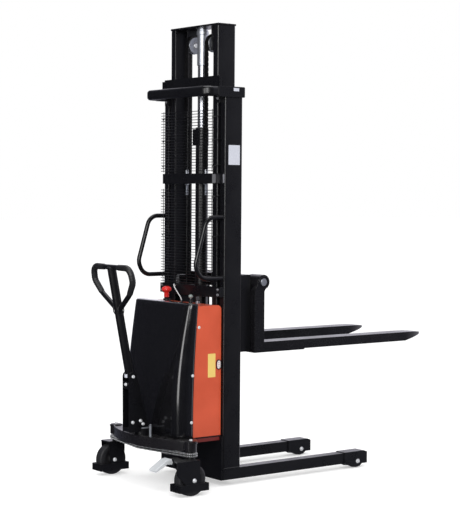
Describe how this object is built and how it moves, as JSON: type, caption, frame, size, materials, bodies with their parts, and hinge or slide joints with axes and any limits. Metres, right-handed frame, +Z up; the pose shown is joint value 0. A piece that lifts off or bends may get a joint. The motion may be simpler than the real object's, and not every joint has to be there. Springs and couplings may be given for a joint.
{
  "type": "walkie stacker",
  "caption": "Semi-electric pedestrian stacker with straddle legs, a two-stage chain-lift mast, adjustable forks, a steering tiller and a power pack under a black cover.",
  "frame": {"origin": "on the floor, under the middle of the bounding box", "axes": "+Z up, +Y towards the fork tips, +X to the right of an operator who faces the forks"},
  "size_m": [0.796, 1.9148, 2.335],
  "materials": {
    "black_paint": "semi-gloss black powder coat",
    "fork_paint": "satin black paint, rubbed on the blade",
    "box_paint": "satin orange-red powder coat",
    "cover_shell": "glossy black moulded shell",
    "zinc": "bright zinc plating",
    "chrome": "hard chrome, polished",
    "chain_steel": "dark oiled steel",
    "roller_steel": "ground steel",
    "wheel_rubber": "black rubber tread",
    "load_tread": "black polyurethane",
    "grip_plastic": "fine-grained black moulding",
    "button_red": "red moulding",
    "knob_grey": "grey-green moulding",
    "socket_pale": "pale moulding",
    "cable_grey": "light grey sheath",
    "hose_black": "black rubber hose",
    "battery_case": "dark moulded case",
    "pump_body": "grey casting"
  },
  "bodies": {
    "chassis": {"outer_rail_left": "black_paint", "outer_rail_right": "black_paint", "outer_top_plate": "black_paint", "mid_cross_plate": "black_paint", "lower_cross_plate": "black_paint", "guard_bar": "black_paint", "mesh_guard_lower": "black_paint", "mesh_guard_upper": "black_paint", "grab_handle_left": "black_paint", "grab_handle_right": "black_paint", "cylinder_barrel": "black_paint", "cylinder_head": "black_paint", "chain_anchor_left": "zinc", "chain_anchor_right": "zinc", "chain_rear_left": "chain_steel", "chain_rear_right": "chain_steel", "leg_left": "black_paint", "leg_right": "black_paint", "chassis_panel": "black_paint", "base_plate": "black_paint", "steering_chain": "chain_steel", "rear_cover": "cover_shell", "power_box": "box_paint", "charge_socket": "socket_pale", "battery": "battery_case", "pump_unit": "pump_body", "hydraulic_hose": "hose_black", "stop_switch_base": "grip_plastic", "signal_cable": "cable_grey"},
    "inner_mast": {"inner_rail_left": "black_paint", "inner_rail_right": "black_paint", "inner_top_plate": "black_paint", "inner_lower_plate": "black_paint", "lift_rod": "chrome", "chain_front_left": "chain_steel", "chain_front_right": "chain_steel"},
    "carriage": {"carriage_frame": "black_paint", "fork_shaft": "zinc"},
    "fork_left": {"fork_left": "fork_paint"},
    "fork_right": {"fork_right": "fork_paint"},
    "chain_wheel_left": {"chain_wheel_left": "zinc"},
    "chain_wheel_right": {"chain_wheel_right": "zinc"},
    "mast_roller_left": {"mast_roller_left": "roller_steel"},
    "mast_roller_right": {"mast_roller_right": "roller_steel"},
    "carriage_roller_low_left": {"carriage_roller_low_left": "roller_steel"},
    "carriage_roller_low_right": {"carriage_roller_low_right": "roller_steel"},
    "carriage_roller_high_left": {"carriage_roller_high_left": "roller_steel"},
    "carriage_roller_high_right": {"carriage_roller_high_right": "roller_steel"},
    "steer_fork_left": {"steer_fork_left": "black_paint"},
    "steer_fork_right": {"steer_fork_right": "black_paint"},
    "steer_wheel_left": {"steer_wheel_left": "wheel_rubber"},
    "steer_wheel_right": {"steer_wheel_right": "wheel_rubber"},
    "load_wheel_left": {"load_wheel_left": "load_tread"},
    "load_wheel_right": {"load_wheel_right": "load_tread"},
    "tiller_swivel": {"tiller_bracket": "black_paint"},
    "tiller": {"tiller_arm": "black_paint"},
    "brake_pedal": {"brake_pedal": "zinc"},
    "stop_button": {"stop_button": "button_red"},
    "key_switch": {"key_switch": "zinc"},
    "lift_lever": {"lift_lever": "knob_grey"}
  },
  "joints": [
    {"name": "inner_mast_lift", "type": "slide", "parent": "chassis", "child": "inner_mast", "axis": [0, 0, 1], "range_m": [-0.29, 1.2], "deforming": ["chain_rear_left", "chain_rear_right"]},
    {"name": "carriage_lift", "type": "slide", "parent": "inner_mast", "child": "carriage", "axis": [0, 0, 1], "range_m": [-0.29, 1.2], "deforming": ["chain_front_left", "chain_front_right"]},
    {"name": "fork_left_slide", "type": "slide", "parent": "carriage", "child": "fork_left", "axis": [1, 0, 0], "range_m": [0, 0.11]},
    {"name": "fork_right_slide", "type": "slide", "parent": "carriage", "child": "fork_right", "axis": [1, 0, 0], "range_m": [-0.11, 0]},
    {"name": "chain_wheel_left_spin", "type": "hinge", "parent": "inner_mast", "child": "chain_wheel_left", "pos_m": [-0.083, -0.37052, 2.243], "axis": [1, 0, 0], "range_deg": [-365, 1500]},
    {"name": "mast_roller_left_spin", "type": "hinge", "parent": "inner_mast", "child": "mast_roller_left", "pos_m": [-0.243, -0.37752, 0.45], "axis": [1, 0, 0], "range_deg": [-380, 1570]},
    {"name": "carriage_roller_low_left_spin", "type": "hinge", "parent": "carriage", "child": "carriage_roller_low_left", "pos_m": [-0.181, -0.38002, 0.83], "axis": [1, 0, 0], "range_deg": [-380, 1570]},
    {"name": "carriage_roller_high_left_spin", "type": "hinge", "parent": "carriage", "child": "carriage_roller_high_left", "pos_m": [-0.181, -0.38002, 1.01], "axis": [1, 0, 0], "range_deg": [-1570, 380]},
    {"name": "chain_wheel_right_spin", "type": "hinge", "parent": "inner_mast", "child": "chain_wheel_right", "pos_m": [0.083, -0.37052, 2.243], "axis": [1, 0, 0], "range_deg": [-365, 1500]},
    {"name": "mast_roller_right_spin", "type": "hinge", "parent": "inner_mast", "child": "mast_roller_right", "pos_m": [0.243, -0.37752, 0.45], "axis": [1, 0, 0], "range_deg": [-380, 1570]},
    {"name": "carriage_roller_low_right_spin", "type": "hinge", "parent": "carriage", "child": "carriage_roller_low_right", "pos_m": [0.181, -0.38002, 0.83], "axis": [1, 0, 0], "range_deg": [-380, 1570]},
    {"name": "carriage_roller_high_right_spin", "type": "hinge", "parent": "carriage", "child": "carriage_roller_high_right", "pos_m": [0.181, -0.38002, 1.01], "axis": [1, 0, 0], "range_deg": [-1570, 380]},
    {"name": "tiller_steer", "type": "hinge", "parent": "chassis", "child": "tiller_swivel", "pos_m": [0, -0.74452, 0.26], "axis": [0, 0, 1], "range_deg": [-55, 55]},
    {"name": "steer_fork_left_swivel", "type": "hinge", "parent": "chassis", "child": "steer_fork_left", "pos_m": [-0.335, -0.68452, 0.178], "axis": [0, 0, 1], "range_deg": [-55, 55]},
    {"name": "steer_wheel_left_roll", "type": "hinge", "parent": "steer_fork_left", "child": "steer_wheel_left", "pos_m": [-0.355, -0.70452, 0.08], "axis": [1, 0, 0], "continuous": true},
    {"name": "load_wheel_left_roll", "type": "hinge", "parent": "chassis", "child": "load_wheel_left", "pos_m": [-0.2365, 0.48448, 0.036], "axis": [1, 0, 0], "continuous": true},
    {"name": "steer_fork_right_swivel", "type": "hinge", "parent": "chassis", "child": "steer_fork_right", "pos_m": [0.335, -0.68452, 0.178], "axis": [0, 0, 1], "range_deg": [-55, 55]},
    {"name": "steer_wheel_right_roll", "type": "hinge", "parent": "steer_fork_right", "child": "steer_wheel_right", "pos_m": [0.355, -0.70452, 0.08], "axis": [1, 0, 0], "continuous": true},
    {"name": "load_wheel_right_roll", "type": "hinge", "parent": "chassis", "child": "load_wheel_right", "pos_m": [0.2365, 0.48448, 0.036], "axis": [1, 0, 0], "continuous": true},
    {"name": "tiller_tilt", "type": "hinge", "parent": "tiller_swivel", "child": "tiller", "pos_m": [0, -0.82252, 0.56], "axis": [1, 0, 0], "range_deg": [0, 65], "stiffness_Nm_per_rad": 30, "springref_deg": -28.65},
    {"name": "brake_pedal_press", "type": "hinge", "parent": "steer_fork_right", "child": "brake_pedal", "pos_m": [0.28, -0.77752, 0.16], "axis": [1, 0, 0], "range_deg": [0, 15]},
    {"name": "stop_button_press", "type": "slide", "parent": "chassis", "child": "stop_button", "axis": [0, 0, 1], "range_m": [-0.006, 0], "stiffness_N_per_m": 1500},
    {"name": "key_switch_turn", "type": "hinge", "parent": "chassis", "child": "key_switch", "pos_m": [0.1, -0.47752, 0.918], "axis": [0, 0, 1], "range_deg": [0, 90]},
    {"name": "lift_lever_tilt", "type": "hinge", "parent": "chassis", "child": "lift_lever", "pos_m": [0.09, -0.51252, 0.928], "axis": [1, 0, 0], "range_deg": [-20, 20], "stiffness_Nm_per_rad": 1}
  ],
  "couplings": [
    {"joint": "carriage_lift", "follows": "inner_mast_lift", "ratio": 1},
    {"joint": "chain_wheel_left_spin", "follows": "inner_mast_lift", "rad_per_m": 21.739},
    {"joint": "mast_roller_left_spin", "follows": "inner_mast_lift", "rad_per_m": 22.727},
    {"joint": "carriage_roller_low_left_spin", "follows": "inner_mast_lift", "rad_per_m": 22.727},
    {"joint": "carriage_roller_high_left_spin", "follows": "inner_mast_lift", "rad_per_m": -22.727},
    {"joint": "chain_wheel_right_spin", "follows": "inner_mast_lift", "rad_per_m": 21.739},
    {"joint": "mast_roller_right_spin", "follows": "inner_mast_lift", "rad_per_m": 22.727},
    {"joint": "carriage_roller_low_right_spin", "follows": "inner_mast_lift", "rad_per_m": 22.727},
    {"joint": "carriage_roller_high_right_spin", "follows": "inner_mast_lift", "rad_per_m": -22.727},
    {"joint": "steer_fork_left_swivel", "follows": "tiller_steer", "ratio": 1},
    {"joint": "steer_fork_right_swivel", "follows": "tiller_steer", "ratio": 1}
  ]
}
